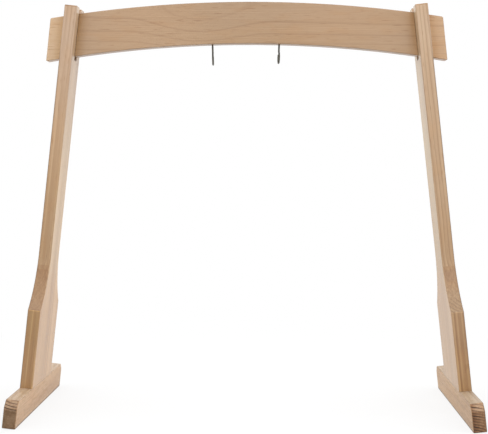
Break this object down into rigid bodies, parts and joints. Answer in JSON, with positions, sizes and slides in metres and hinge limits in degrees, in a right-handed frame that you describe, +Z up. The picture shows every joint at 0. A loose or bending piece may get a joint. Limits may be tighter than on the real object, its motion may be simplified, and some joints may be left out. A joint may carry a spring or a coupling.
{
  "type": "gong stand",
  "caption": "Free-standing wooden gong stand: leaning T-foot trestles, an arched crossbeam that lifts out of open forks, and screw hooks for the gong's cord.",
  "frame": {"origin": "on the floor, midway between the two trestles and midway along the feet", "axes": "+X along the crossbeam to the right as seen from the front, +Y from front to rear, +Z up"},
  "size_m": [1.2542, 0.54, 1.1449],
  "materials": {
    "beam_wood": "oiled",
    "post_wood": "oiled",
    "foot_wood": "oiled",
    "dowel_wood": "raw",
    "hook_steel": "satin",
    "zinc_steel": "satin",
    "insert_steel": "satin"
  },
  "bodies": {
    "left_trestle": {"left_post": "post_wood", "left_foot": "foot_wood", "left_front_dowel": "dowel_wood", "left_rear_dowel": "dowel_wood", "left_front_bolt": "zinc_steel", "left_rear_bolt": "zinc_steel", "left_front_washer": "zinc_steel", "left_rear_washer": "zinc_steel", "left_front_insert": "insert_steel", "left_rear_insert": "insert_steel"},
    "crossbeam": {"crossbeam": "beam_wood"},
    "right_trestle": {"right_post": "post_wood", "right_foot": "foot_wood", "right_front_dowel": "dowel_wood", "right_rear_dowel": "dowel_wood", "right_front_bolt": "zinc_steel", "right_rear_bolt": "zinc_steel", "right_front_washer": "zinc_steel", "right_rear_washer": "zinc_steel", "right_front_insert": "insert_steel", "right_rear_insert": "insert_steel"},
    "left_hook": {"left_hook": "hook_steel"},
    "right_hook": {"right_hook": "hook_steel"}
  },
  "joints": [
    {"name": "crossbeam_lift", "type": "slide", "parent": "left_trestle", "child": "crossbeam", "axis": [0.1115, 0, 0.9938], "range_m": [0, 0.14]},
    {"name": "right_trestle_slide", "type": "slide", "parent": "crossbeam", "child": "right_trestle", "axis": [0.1115, 0, -0.9938], "range_m": [0, 0.14]},
    {"name": "left_hook_turn", "type": "hinge", "parent": "crossbeam", "child": "left_hook", "pos_m": [-0.0935, 0, 1.02761], "axis": [-0.0279, 0, 0.9996], "range_deg": [-90, 90]},
    {"name": "right_hook_turn", "type": "hinge", "parent": "crossbeam", "child": "right_hook", "pos_m": [0.0935, 0, 1.02761], "axis": [0.0279, 0, 0.9996], "range_deg": [-90, 90]}
  ],
  "couplings": [
    {"joint": "right_trestle_slide", "follows": "crossbeam_lift", "ratio": 1}
  ]
}
